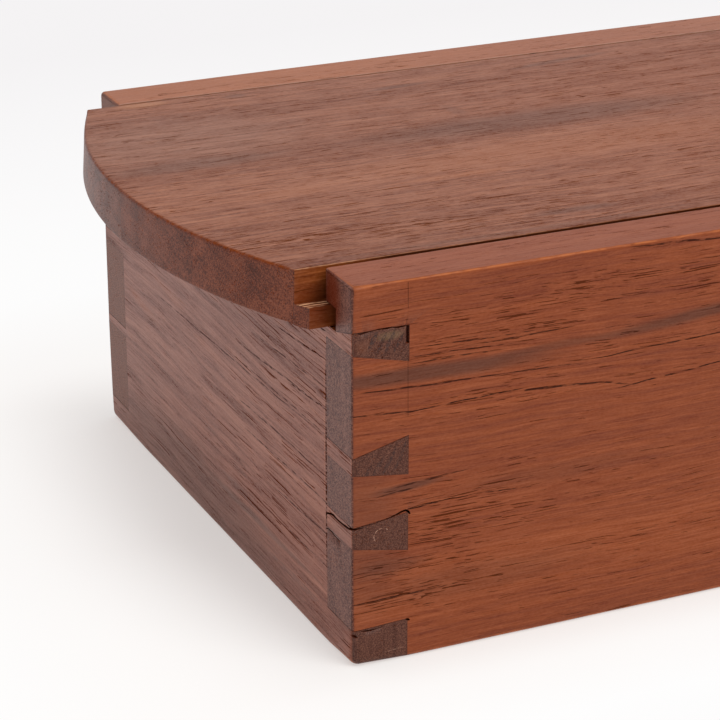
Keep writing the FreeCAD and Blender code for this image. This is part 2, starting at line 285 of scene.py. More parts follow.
def makeWood(
    name, axes, origin=(0, 0, 0), tilt=0.0, heart=(40, -150), zones=(), marks=(), endMarks=(), **changes
):
    look = {**wood, **changes}
    material = bpy.data.materials.new(name)
    material.use_nodes = True
    tree = material.node_tree
    tree.nodes.clear()

    # board: along the grain, across it, and into the board's thickness
    parts = addNode(tree, "ShaderNodeSeparateXYZ", addNode(tree, "ShaderNodeTexCoord").outputs["Object"])
    turned = addNode(tree, "ShaderNodeCombineXYZ", *[parts.outputs[letter] for letter in axes])
    lie = {"Location": origin, "Rotation": (0, 0, math.radians(tilt)), "Scale": (1 / mm, 1 / mm, 1 / mm)}
    board = addNode(tree, "ShaderNodeMapping", turned, named=lie)
    near = strayed(tree, board, *look["swayNoise"], look["flutter"])
    near = strayed(tree, near, *look["jitter"])
    grain = strayed(tree, near, *look["wanderNoise"], look["wander"])

    # growth bands are rings about the heart of the tree
    fromHeart = addNode(tree, vectorMaths, grain, (0, *heart), operation="SUBTRACT")
    fromHeart = addNode(tree, vectorMaths, fromHeart, (0, 1, 1), operation="MULTIPLY")
    ring = addNode(tree, vectorMaths, fromHeart, operation="LENGTH")
    inRings = addNode(tree, "ShaderNodeSeparateXYZ", grain).outputs["X"]
    inRings = addNode(tree, "ShaderNodeCombineXYZ", inRings, ring, 0.0)
    sources = {"rings": inRings, "streaks": grain, "fibres": grain, "specks": board, "mottle": board}
    patterns = {}
    tone = 0.0
    sheen = 1 - sum(look[title][3] for title in sources) / 2
    for title, source in sources.items():
        along, across, share, shine = look[title]
        patterns[title] = stretched(tree, source, along, across)
        tone = addNode(tree, maths, patterns[title], share, tone, operation="MULTIPLY_ADD")
        sheen = addNode(tree, maths, patterns[title], shine, sheen, operation="MULTIPLY_ADD")
    stops = [
        (0.5 - look["spread"], hexColour(look["dark"])),
        (0.5 + look["spread"], hexColour(look["light"])),
        (0.5, hexColour(look["middle"])),
    ]
    colour = addNode(tree, "ShaderNodeValToRGB", tone, stops=stops)

    # zones and marks lie in a plane of the box: middle, half sizes, turn in degrees, strength, a mark's hue
    sway = addNode(tree, vectorMaths, near, board, operation="SUBTRACT")
    sway = addNode(tree, "ShaderNodeSeparateXYZ", sway)
    planes = {}

    def reach(plane, middle, half, turn):
        if plane not in planes:
            spots = []
            for letter in plane:
                place = parts.outputs[letter]
                stray = sway.outputs["XYZ"[axes.index(letter)]]
                spots.append(addNode(tree, maths, place, 1 / mm, stray, operation="MULTIPLY_ADD"))
            planes[plane] = addNode(tree, "ShaderNodeCombineXYZ", *spots)
        lie = {"Location": (*middle, 0), "Rotation": (0, 0, math.radians(turn)), "Scale": (*half, 1)}
        spot = addNode(tree, "ShaderNodeMapping", planes[plane], vector_type="TEXTURE", named=lie)
        return addNode(tree, vectorMaths, spot, operation="LENGTH")

    broken = stretched(tree, grain, *look["lineBreaks"])
    broken = addNode(tree, mapRange, broken, 0.46, 0.62, 1.0, 0.1)
    dulled = []  # marks whose share of the sheen is still to be taken off

    def marked(colour, marks, mask):
        for plane, middle, half, turn, strength, hue in marks:
            isLine = half[1] < 1.0
            limits = (look["lineEdge"] if isLine else look["markEdge"], 1.0, strength, 0.0)
            away = reach(plane, middle, half, turn)
            share = addNode(tree, mapRange, away, *limits, **eased)
            if isLine:
                share = addNode(tree, maths, share, broken, operation="MULTIPLY")
            share = addNode(tree, maths, share, mask, operation="MULTIPLY")
            colour = addNode(tree, "ShaderNodeMix", share, colour, hexColour(look[hue]), data_type="RGBA")
            if look["dulling"].get(hue):
                dulled.append((share, look["dulling"][hue]))
        return colour

    def dimmed(sheen):
        while dulled:
            share, dulling = dulled.pop(0)
            dull = addNode(tree, maths, share, -dulling, 1.0, operation="MULTIPLY_ADD")
            sheen = addNode(tree, maths, sheen, dull, operation="MULTIPLY")
        return sheen

    colour = marked(colour, marks, 1.0)

    # pores, in crowds
    crowd = stretched(tree, grain, *look["crowds"])
    limits = (0.3, 0.7, look["poreLevel"] + look["poreCrowding"], look["poreLevel"] - look["poreCrowding"])
    level = addNode(tree, mapRange, crowd, *limits)
    for plane, middle, half, turn, strength in zones:
        limits = (look["markEdge"], 1.0, strength, 0.0)
        away = reach(plane, middle, half, turn)
        share = addNode(tree, mapRange, away, *limits, **eased)
        level = addNode(tree, maths, level, share, operation="SUBTRACT")
    pores = []
    for title in ("longPores", "shortPores"):
        vessel = stretched(tree, grain, *look[title], 0.1)
        over = addNode(tree, maths, vessel, level, operation="SUBTRACT")
        limits = (0.0, look["poreEdge"])
        pores.append(addNode(tree, mapRange, over, *limits, **eased))
    pore = addNode(tree, maths, *pores, operation="MAXIMUM")
    share = addNode(tree, maths, pore, look["poreStrength"], operation="MULTIPLY")
    colour = addNode(tree, "ShaderNodeMix", share, colour, hexColour(look["pore"]), data_type="RGBA")

    # end grain: fine rings and dots, darker and greyer, because it drinks the oil
    lengthwise = tuple(1.0 if letter == axes[0] else 0.0 for letter in "XYZ")
    facing = addNode(tree, "ShaderNodeNewGeometry").outputs["Normal"]
    facing = addNode(tree, vectorMaths, facing, lengthwise, operation="DOT_PRODUCT")
    facing = addNode(tree, maths, facing, operation="ABSOLUTE")
    end = addNode(tree, mapRange, facing, 0.3, 0.7, **eased)
    alongside = addNode(tree, maths, 1.0, end, operation="SUBTRACT")
    endTone = addNode(tree, maths, patterns["mottle"], look["endMottle"], operation="MULTIPLY")
    for title, source in (("endRings", inRings), ("endDots", board)):
        along, across, share = look[title]
        fine = stretched(tree, source, along, across, 0.6)
        endTone = addNode(tree, maths, fine, share, endTone, operation="MULTIPLY_ADD")
    stops = [
        (0.5 - look["endSpread"], hexColour(look["endDark"])),
        (0.5 + look["endSpread"], hexColour(look["endLight"])),
        (0.5, hexColour(look["endMiddle"])),
    ]
    endColour = addNode(tree, "ShaderNodeValToRGB", endTone, stops=stops)
    colour = addNode(tree, "ShaderNodeMix", end, colour, endColour, data_type="RGBA")
    sheen = dimmed(sheen)
    colour = marked(colour, endMarks, end)
    limits = (look["endSheen"], 1 - look["endSheen"] / 2)
    endSheen = addNode(tree, maths, endTone, *limits, operation="MULTIPLY_ADD")
    sheen = addNode(tree, "ShaderNodeMix", end, sheen, endSheen, data_type="FLOAT")
    sheen = dimmed(sheen)
    dull = addNode(tree, maths, pore, -look["dulling"]["pore"], 1.0, operation="MULTIPLY_ADD")
    sheen = addNode(tree, maths, sheen, dull, operation="MULTIPLY")

    # long arrises paler, worn and with a painted highlight; upright corners and the seams between the boards
    # darker; the walls of cracks and of the gaps beside the lid painted dark as shade
    patchy = stretched(tree, board, *look["rubbedPatches"])
    patchy = addNode(tree, mapRange, patchy, 0.42, 0.6, 0.3, 1.0)
    # each attribute, how strong it is, where, its hue and how dull it is
    for attribute, share, cover, hue, dulling in (
        ("wearAndGlint", alongside, patchy, "rubbed", 0.0),
        ("rim", 1.0, patchy, "rim", 0.9),
        ("corner", 0.55, patchy, "darkerCorner", 0.0),
        ("seam", 0.9, patchy, "pore", 0.6),
        ("gap", 0.9, 1.0, "pore", 0.9),
    ):
        amount = addNode(tree, "ShaderNodeAttribute", attribute_name=attribute).outputs["Fac"]
        amount = addNode(tree, maths, amount, share, operation="MULTIPLY")
        amount = addNode(tree, maths, amount, cover, operation="MULTIPLY")
        colour = addNode(tree, "ShaderNodeMix", amount, colour, hexColour(look[hue]), data_type="RGBA")
        dull = addNode(tree, maths, amount, -dulling, 1.0, operation="MULTIPLY_ADD")
        sheen = addNode(tree, maths, sheen, dull, operation="MULTIPLY")
    sheen = addNode(tree, maths, sheen, look["gloss"], operation="MULTIPLY", use_clamp=True)

    # sunken pores and raised fibres; the pores are rough inside
    height = 0.0
    for pattern, share in ((pore, -0.9), (patterns["fibres"], 0.8), (patterns["specks"], 0.3)):
        height = addNode(tree, maths, pattern, share, height, operation="MULTIPLY_ADD")
    bumps = {"Strength": 0.3, "Distance": look["relief"] * mm, "Height": height}
    relief = addNode(tree, "ShaderNodeBump", named=bumps)
    rough = look["roughness"]
    for pattern, share in ((pore, 0.45), (end, look["endRoughness"])):
        rough = addNode(tree, maths, pattern, share, rough, operation="MULTIPLY_ADD")
    finish = {"Base Color": colour, "Roughness": rough, "Specular IOR Level": sheen, "Normal": relief}
    shader = addNode(tree, "ShaderNodeBsdfPrincipled", named=finish)
    addNode(tree, "ShaderNodeOutputMaterial", shader)
    return material


def newTree(name, vectors, sizes):
    tree = bpy.data.node_groups.new(name, "GeometryNodeTree")
    tree.interface.new_socket("Geometry", in_out="INPUT", socket_type="NodeSocketGeometry")
    for kind, labels in (("Vector", vectors), ("Float", sizes), ("Material", ["material"])):
        for label in labels:
            tree.interface.new_socket(label, in_out="INPUT", socket_type=f"NodeSocket{kind}")
    tree.interface.new_socket("Geometry", in_out="OUTPUT", socket_type="NodeSocketGeometry")
    return tree, addNode(tree, "NodeGroupInput").outputs


def endTree(tree, geometry, material):
    whole = addNode(tree, "GeometryNodeRealizeInstances", geometry)
    dressed = addNode(tree, "GeometryNodeSetMaterial", whole, named={"Material": material})
    addNode(tree, "NodeGroupOutput", dressed)


def baked(piece):
    shape = bpy.data.meshes.new_from_object(piece.evaluated_get(bpy.context.evaluated_depsgraph_get()))
    for modifier in list(piece.modifiers):
        piece.modifiers.remove(modifier)
    old = piece.data
    piece.data = shape
    bpy.data.meshes.remove(old)


def runTree(piece, tree, values):
    modifier = piece.modifiers.new(tree.name, "NODES")
    modifier.node_group = tree
    sockets = {item.name: item.identifier for item in tree.interface.items_tree if item.in_out == "INPUT"}
    for label, value in values.items():
        modifier[sockets[label]] = value
    baked(piece)


# Worn surface: draws a piece's outer edges in to a rounded envelope of uneven radius, larger at the foot, and
# lets the plane's ripples show on the faces
wornSizes = ["arris", "foot", "footHeight", "unevenness", "ripple"]
wornTree, given = newTree("wornSurface", ["low", "high"], [*wornSizes, "seed"])
tree = wornTree
here = addNode(tree, "GeometryNodeInputPosition")
overLow = addNode(tree, vectorMaths, here, given["low"], operation="SUBTRACT")
underHigh = addNode(tree, vectorMaths, given["high"], here, operation="SUBTRACT")
margin = addNode(tree, vectorMaths, overLow, underHigh, operation="MINIMUM")
margin = addNode(tree, "ShaderNodeSeparateXYZ", margin)
least = addNode(tree, maths, margin.outputs["X"], margin.outputs["Y"], operation="MINIMUM")
least = addNode(tree, maths, least, margin.outputs["Z"], operation="MINIMUM")
inside = addNode(tree, "FunctionNodeCompare", least, -0.01 * mm, data_type="FLOAT", operation="GREATER_EQUAL")
foot = addNode(tree, "ShaderNodeSeparateXYZ", overLow).outputs["Z"]
limits = (0.0, *(given[label] for label in ("footHeight", "foot", "arris")))
foot = addNode(tree, mapRange, foot, *limits, **eased)
noise = {"Vector": here, "W": given["seed"], "Scale": 70.0, "Detail": 2.0}  # places 14 mm across
rub = addNode(tree, "ShaderNodeTexNoise", noise_dimensions="4D", named=noise)
rub = addNode(tree, maths, rub, 0.5, operation="SUBTRACT")
radius = addNode(tree, maths, rub, given["unevenness"], foot, operation="MULTIPLY_ADD")
knocked = addNode(tree, "GeometryNodeInputNamedAttribute", data_type="FLOAT", named={"Name": "knocked"})
radius = addNode(tree, maths, radius, knocked, operation="ADD")
inset = addNode(tree, "ShaderNodeCombineXYZ", radius, radius, radius)
lowCore = addNode(tree, vectorMaths, given["low"], inset, operation="ADD")
highCore = addNode(tree, vectorMaths, given["high"], inset, operation="SUBTRACT")
core = addNode(tree, vectorMaths, here, highCore, operation="MINIMUM")
core = addNode(tree, vectorMaths, core, lowCore, operation="MAXIMUM")
out = addNode(tree, vectorMaths, here, core, operation="SUBTRACT")
reach = addNode(tree, vectorMaths, out, operation="LENGTH")
keep = addNode(tree, maths, radius, reach, operation="DIVIDE")
keep = addNode(tree, maths, keep, 1.0, operation="MINIMUM")
kept = addNode(tree, vectorMaths, out, keep, operation="SCALE")
moved = addNode(tree, vectorMaths, core, kept, operation="ADD")
noise = {"Vector": here, "W": given["seed"], "Scale": 38.0, "Detail": 1.0}  # places 26 mm across
plane = addNode(tree, "ShaderNodeTexNoise", noise_dimensions="4D", named=noise)
hollow = addNode(tree, maths, plane, given["ripple"], operation="MULTIPLY")
outward = addNode(tree, vectorMaths, out, operation="NORMALIZE")
sunk = addNode(tree, vectorMaths, outward, hollow, operation="SCALE")
moved = addNode(tree, vectorMaths, moved, sunk, operation="SUBTRACT")
spread = addNode(tree, vectorMaths, out, operation="ABSOLUTE")
spread = addNode(tree, "ShaderNodeSeparateXYZ", spread)
sideways = addNode(tree, maths, spread.outputs["X"], spread.outputs["Y"], operation="MAXIMUM")
level = addNode(tree, maths, spread.outputs["Z"], sideways, operation="MINIMUM")
upright = addNode(tree, maths, spread.outputs["X"], spread.outputs["Y"], operation="MINIMUM")
marked = given["Geometry"]
# how near each point is to a level arris, which takes paler wear and a painted highlight, and to an upright
# one
for title, amount in (("wearAndGlint", level), ("corner", upright)):
    amount = addNode(tree, maths, amount, radius, operation="DIVIDE", use_clamp=True)
    amount = addNode(tree, maths, amount, inside, operation="MULTIPLY")
    mark = {"Name": title, "Value": amount}
    marked = addNode(tree, "GeometryNodeStoreNamedAttribute", marked, data_type="FLOAT", named=mark)
shaped = addNode(tree, "GeometryNodeSetPosition", marked, named={"Selection": inside, "Position": moved})
endTree(tree, shaped, given["material"])

# Bowed end: carries the straight front of a lid board back to the arc of the bow
bowSizes = ["bowRadius", "bowOffset", "lean", "ease", "easeFrom", "easeTo", "bowDepth"]
bowTree, given = newTree("bowedEnd", [], ["crown", "low", "high", *bowSizes])
tree = bowTree
here = addNode(tree, "GeometryNodeInputPosition")
spot = addNode(tree, "ShaderNodeSeparateXYZ", here)
off = addNode(tree, maths, spot.outputs["Y"], given["bowOffset"], operation="SUBTRACT")
offSquared = addNode(tree, maths, off, off, operation="MULTIPLY")
radius = given["bowRadius"]
radiusSquared = addNode(tree, maths, radius, radius, operation="MULTIPLY")
chord = addNode(tree, maths, radiusSquared, offSquared, operation="SUBTRACT")
chord = addNode(tree, maths, chord, operation="SQRT")
back = addNode(tree, maths, radius, chord, operation="SUBTRACT")
height = addNode(tree, mapRange, spot.outputs["Z"], given["low"], given["high"])
limits = [given[label] for label in ("easeFrom", "easeTo", "lean", "ease")]
lean = addNode(tree, mapRange, spot.outputs["Y"], *limits, **eased)
back = addNode(tree, maths, height, lean, back, operation="MULTIPLY_ADD")
behind = addNode(tree, maths, spot.outputs["X"], given["crown"], operation="SUBTRACT")
limits = (0.0, given["bowDepth"], 1.0, 0.0)
fade = addNode(tree, mapRange, behind, *limits, **eased)
shift = addNode(tree, maths, back, fade, operation="MULTIPLY")
offset = {"Offset": addNode(tree, "ShaderNodeCombineXYZ", shift, 0.0, 0.0)}
bent = addNode(tree, "GeometryNodeSetPosition", given["Geometry"], named=offset)
endTree(tree, bent, given["material"])
print("trees ready")


openFace, closedFace = caseLow.x, caseHigh.x
frontFace, backFace = caseLow.y, caseHigh.y
caseTop = caseHigh.z

case = {
    "arris": 0.5,
    "foot": 1.0,
    "footHeight": 7,
    "unevenness": 0.35,
    "ripple": 0.05,
    "seed": 3.0,
    "edgeLines": (0.15, 0.4, 0.7, 1.1, 1.8, 2.6),  # cuts in the mesh near the outer faces, for the arrises
    "faceLines": 6,  # and between those over the faces, for the ripples
    "seamWidth": 0.28,
    "largestEnd": 500,  # mm2, the ends of all pins and tails are smaller
    "crackProud": 0.3,  # how far the cutters of the cracks stand out of the face
    "crackRoot": 0.3,  # a crack's width at its root, as a share of its width at the face
    # knocked corners: which corner, how far the damage reaches and how much rounder it is there
    "knocks": [((-1, 1, 1), 34, 0.5), ((-1, 1, -1), 26, 0.9), ((-1, -1, -1), 14, 1.0), ((-1, -1, 1), 6, 0.5)],
}

# Open joints: where a pin or tail fits badly the seam gapes. Each has its face, its depth and a line of
# (along, down, width): along from the open end on the front face, from the back side on the open end, and
# down from the case's top.
cracks = [
    ("front", 2.2, [
        (1.3, 9.5, 0.25), (2, 9.6, 0.36), (3.2, 9.4, 0.24), (5.5, 9.2, 0.22),
        (7.4, 9.3, 0.45), (8.2, 9.2, 0.24), (9.7, 9.45, 0.38), (11.2, 9.35, 0.3),
    ]),
    ("front", 2.5, [(-0.5, 50, 0.5), (0, 50.2, 0.45), (0.7, 50.4, 0.4), (1.5, 50.4, 0.15)]),
    ("front", 1.2, [(0.9, 50.1, 0.1), (5, 49.85, 0.14), (8.6, 49.2, 0.2)]),
    ("front", 2.5, [
        (8.3, 49.2, 0.25), (9.3, 48.95, 0.42), (10.6, 48.45, 0.45),
        (11.5, 48.3, 0.5), (12.1, 48.7, 0.55), (12.5, 49.3, 0.3),
    ]),
    ("front", 0.5, [(11.9, 48.15, 0.2), (14.2, 47.8, 0.16), (17.2, 47.7, 0.16), (19.3, 47.6, 0.08)]),
    ("front", 2, [
        (1.9, 73, 0.14), (3.1, 73.15, 0.4), (4, 73.2, 0.34), (5.6, 73.05, 0.16), (6.8, 72.8, 0.1),
    ]),
    ("front", 0.6, [(-0.5, 73.6, 1.3), (0.5, 73.85, 0.9), (1.15, 74.2, 0.35)]),
    ("front", 2, [(11.7, 72.4, 0.35), (12.2, 72.5, 0.6), (12.6, 72.7, 0.25)]),
    ("front", 0.25, [(11.72, 0.5, 0.13), (11.74, 3, 0.15), (11.78, 5.9, 0.1)]),
    ("front", 0.2, [(11.8, 15.6, 0.12), (11.9, 28.3, 0.12)]),
    ("end", 2.5, [
        (128.2, 52.3, 0.25), (129, 51.8, 0.45), (130.6, 51.3, 0.45), (132, 51.05, 0.65),
        (134, 51.2, 0.45), (136.5, 51.05, 0.5), (138, 50.9, 0.6), (139.4, 50.75, 0.5), (141.4, 50.2, 0.4),
    ]),
    ("end", 2, [
        (128.2, 55.5, 0.2), (129.3, 55.1, 0.3), (131.2, 55.05, 0.38), (132.8, 55.25, 0.2), (135.6, 55.3, 0.1),
    ]),
]


def newPiece(name, shape):
    mesh = bpy.data.meshes.new(name)
    shape.to_mesh(mesh)
    shape.free()
    piece = bpy.data.objects.new(name, mesh)
    bpy.context.scene.collection.objects.link(piece)
    return piece


def solidCopy(node):
    shape = bmesh.new()
    shape.from_mesh(frame["nodes"][node].data)
    bmesh.ops.remove_doubles(shape, verts=shape.verts, dist=0.002 * mm)
    bmesh.ops.dissolve_limit(shape, angle_limit=0.01, verts=shape.verts, edges=shape.edges)
    return shape


def markSeams(shape, axis, places, width):
    # a narrow border on the ends of pins or tails, which shows as the seam with the next board
    layer = shape.verts.layers.float.get("seam") or shape.verts.layers.float.new("seam")
    chosen = [
        face
        for face in shape.faces
        if abs(abs(face.normal[axis]) - 1) < 1e-4
        and any(abs(face.calc_center_median()[axis] - place) < 0.01 * mm for place in places)
        and face.calc_area() < case["largestEnd"] * mm * mm
    ]
    border = {vert for face in chosen for vert in face.verts}
    bmesh.ops.inset_individual(shape, faces=chosen, thickness=width, use_even_offset=True)
    for vert in border:
        vert[layer] = 1.0


def cutAlong(shape, axis, places):
    normal = Vector([1.0 if number == axis else 0.0 for number in range(3)])
    for place in places:
        whole = [*shape.verts, *shape.edges, *shape.faces]
        bmesh.ops.bisect_plane(shape, geom=whole, dist=0.001 * mm, plane_co=normal * place, plane_no=normal)


def cutLines(low, high, near, step):
    # lines near both ends of a span and evenly between
    lines = [low + edge * mm for edge in near] + [high - edge * mm for edge in near]
    count = max(1, round((high - low) / (step * mm)))
    lines += [low + (high - low) * number / count for number in range(1, count)]
    return sorted(lines)


def smoothed(piece):
    # smooth but for turns of more than 32 degrees
    piece.data.shade_smooth()
    piece.data.set_sharp_from_angle(angle=math.radians(32))


def wearValues(low, high, values, material):
    sizes = {label: values[label] * mm for label in wornSizes}
    return {"low": tuple(low), "high": tuple(high), **sizes, "seed": values["seed"], "material": material}


def crackCutter(face, depth, line):
    # a wedge along the line, wide at the face and narrow at its root
    origin, along, inward = {
        "front": (Vector((openFace, frontFace, caseTop)), Vector((1, 0, 0)), Vector((0, 1, 0))),
        "end": (Vector((openFace, backFace, caseTop)), Vector((0, -1, 0)), Vector((1, 0, 0))),
    }[face]
    spots = [origin + (along * a - Vector((0, 0, b))) * mm for a, b, width in line]
    widths = [width * mm for a, b, width in line]
    shape = bmesh.new()
    rings = []
    for number, (spot, width) in enumerate(zip(spots, widths)):
        ahead = spots[min(number + 1, len(spots) - 1)] - spots[max(number - 1, 0)]
        across = ahead.cross(inward).normalized() * width / 2
        narrow = across * case["crackRoot"]
        outer = -case["crackProud"] * mm * inward
        root = depth * mm * inward
        corners = (spot + across + outer, spot - across + outer, spot - narrow + root, spot + narrow + root)
        rings.append([shape.verts.new(corner) for corner in corners])
    for one, other in zip(rings, rings[1:]):
        for number in range(4):
            after = (number + 1) % 4
            shape.faces.new((one[number], one[after], other[after], other[number]))
    shape.faces.new(rings[0][::-1])
    shape.faces.new(rings[-1])
    bmesh.ops.recalc_face_normals(shape, faces=shape.faces)
    # the cutter's walls carry the gap mark, which paints the crack's walls dark as shade
    layer = shape.faces.layers.float.new("gap")
    for wall in shape.faces:
        wall[layer] = 1.0
    return newPiece("crackCutter", shape)


def openCracks(piece):
    cutters = [crackCutter(*crack) for crack in cracks]
    for cutter in cutters:
        modifier = piece.modifiers.new("crack", "BOOLEAN")
        modifier.object = cutter
        modifier.operation = "DIFFERENCE"
        modifier.solver = "EXACT"
    baked(piece)
    for cutter in cutters:
        bpy.data.objects.remove(cutter)


def markKnocks(shape):
    # how much rounder the envelope is near the knocked corners
    layer = shape.verts.layers.float.new("knocked")
    for signs, distance, extra in case["knocks"]:
        corner = Vector([caseHigh[axis] if signs[axis] > 0 else caseLow[axis] for axis in range(3)])
        for vert in shape.verts:
            near = max(0.0, 1 - (vert.co - corner).length / (distance * mm))
            vert[layer] += extra * mm * near * near * (3 - 2 * near)


def dressBoard(node, name, material, seamAxis, seamPlaces, isCracked=False):
    shape = solidCopy(node)
    markSeams(shape, seamAxis, seamPlaces, case["seamWidth"] * mm)
    shape.faces.layers.float.new("gap")  # the walls of the cracks bring theirs: painted shade
    piece = newPiece(name, shape)
    if isCracked:
        openCracks(piece)
    shape = bmesh.new()
    shape.from_mesh(piece.data)
    low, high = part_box(node)
    skin = 0.05 * mm  # no line runs this close to the board's own faces
    for axis in range(3):
        lines = cutLines(caseLow[axis], caseHigh[axis], case["edgeLines"], case["faceLines"])
        cutAlong(shape, axis, [line for line in lines if low[axis] + skin < line < high[axis] - skin])
    markKnocks(shape)
    shape.to_mesh(piece.data)
    shape.free()
    runTree(piece, wornTree, wearValues(caseLow, caseHigh, case, material))
    smoothed(piece)
    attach(piece, "case")
    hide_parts(node)
    print(name, "ready:", len(piece.data.polygons), "faces")


def onFront(along, down, halfLong, halfWide, turn, *rest):
    # from the open end and the top, in mm
    return ("XZ", (openFace / mm + along, caseTop / mm - down), (halfLong, halfWide), turn, *rest)


def onEnd(fromBack, down, halfLong, halfWide, turn, *rest):
    # from the back side and the case's top
    return ("YZ", (backFace / mm - fromBack, caseTop / mm - down), (halfLong, halfWide), -turn, *rest)


def onLid(fromBow, across, halfLong, halfWide, turn, *rest):
    # from the crown of the bow, and from the middle of the box towards the back
    return ("XY", (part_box("lid_back_board")[0].x / mm + fromBow, across), (halfLong, halfWide), turn, *rest)


def several(place, rows, *hue):
    # zones, or marks of one hue
    return [place(*row, *hue) for row in rows]


# A curved nick in the end of a pin, as short marks along an arc
nick = {
    "middle": (6.4, 52.75),  # from the open end and the top
    "radius": 1.6,
    "turns": (0.85, 1.2, 1.55, 1.9, 2.25, 2.6, 2.95, 3.3, 3.6),  # radians
}


def nickMarks():
    along, down = nick["middle"]
    marks = []
    for turn in nick["turns"]:
        place = (along + nick["radius"] * math.cos(turn), down - nick["radius"] * math.sin(turn))
        marks.append(onFront(*place, 0.3, 0.09, math.degrees(turn) + 90, 1.0, "nick"))
    return marks


sideLook = {"endRings": (60, 0.8, 0.2), "endDots": (8, 0.28, 0.8)}  # end grain of both sides
frontWood = makeWood(
    "oiledMahoganyFrontSide",
    "XZY",
    tilt=0.3,
    heart=(60, -170),
    endDark="#4c2921",
    endMiddle="#67382d",
    endLight="#82503f",
    rawEnd="#66240c",
    dry="#87401c",
    dulling={"pore": 0.7, "rawEnd": 0.85, "dry": 0.45},
    endSpread=0.085,
    gloss=0.23,
    zones=several(onFront, [
        (30, 15, 30, 5, 0, 0.09), (50, 8, 70, 8, 0, 0.05), (24, 52, 26, 10, 0, 0.09),
        (16, 62, 26, 14, 0, 0.06), (14, 43.4, 16, 2.6, 3, 0.07), (60, 22, 30, 4, 0, 0.05),
        (60, 36, 60, 7, 0, -0.05),
    ]),
    marks=[
        *several(onFront, [
            (14, 19.8, 40, 2.4, -1.5, 0.8), (78, 17.2, 34, 1.8, 4, 0.75), (42, 18.9, 22, 1.3, 2, 0.5),
            (12, 43.3, 10.5, 1.2, 2.5, 0.75),
        ], "band"),
        *several(onFront, [
            (9.5, 44, 5, 0.22, 4, 0.9), (14, 42.8, 6, 0.2, 3, 0.9), (20, 42.2, 6, 0.2, 4, 0.8),
        ], "pore"),
        *several(onFront, [
            (8, 60, 11, 2.6, 0, 0.4), (45, 46, 30, 3, 0, 0.2), (3, 52, 10, 24, 0, 0.35),
            (26, 66, 36, 5, 0, 0.25),
        ], "band"),
        *several(onFront, [
            (16, 22.4, 24, 0.2, -1.6, 0.9), (40, 23.1, 12, 0.16, -2, 0.8), (70, 22.5, 20, 0.2, 2, 0.9),
            (6, 26.9, 10, 0.2, -3.5, 0.9), (24, 27.1, 16, 0.18, 1.8, 1), (43, 27.6, 14, 0.26, -4.3, 0.9),
            (57.5, 29.2, 4, 0.2, -12, 0.9), (71, 29.4, 16, 0.2, 4.7, 1),
            (26, 14.6, 16, 0.17, -1, 0.9), (36, 15.5, 14, 0.2, 0.5, 0.9),
            (24, 16.4, 14, 0.16, -1.2, 0.9), (22, 17.6, 12, 0.2, -0.4, 0.9), (17, 47.8, 6, 0.2, 5, 1),
            (30, 47.9, 11, 0.18, -3, 0.9), (11, 66.8, 15, 0.2, 1, 0.9), (72, 1.3, 14, 0.25, -3, 0.9),
        ], "pore"),
        ("XZ", (10, 81), (260, 1.2), 0, 0.5, "dry"),  # its top edge, less glossy
    ],
    endMarks=[onEnd(131.8, 5, 5, 9.5, 0, 0.75, "rawEnd")],
    **sideLook,
)
backWood = makeWood(
    "oiledMahoganyBackSide",
    "XZY",
    origin=(20, -40, 330),
    tilt=-0.4,
    heart=(90, 150),
    bleached="#a86133",
    endDark="#532616",
    endMiddle="#6e3319",
    endLight="#8a4f30",
    # painted light on the shaded inner wall beside the lid's edge
    duller="#9c6b54",
    marks=[
        ("XZ", (10, 81), (260, 1.2), 0, 0.4, "bleached"),  # its top edge, lighter
        ("XZ", (-140, 81), (130, 1.2), 0, 0.4, "bleached"),
        ("YZ", (58.3, 80.7), (0.7, 1), 0, 0.9, "duller"),  # the inner wall where the lid's edge runs, painted lighter to take out the shade in the gap
    ],
    **sideLook,
)

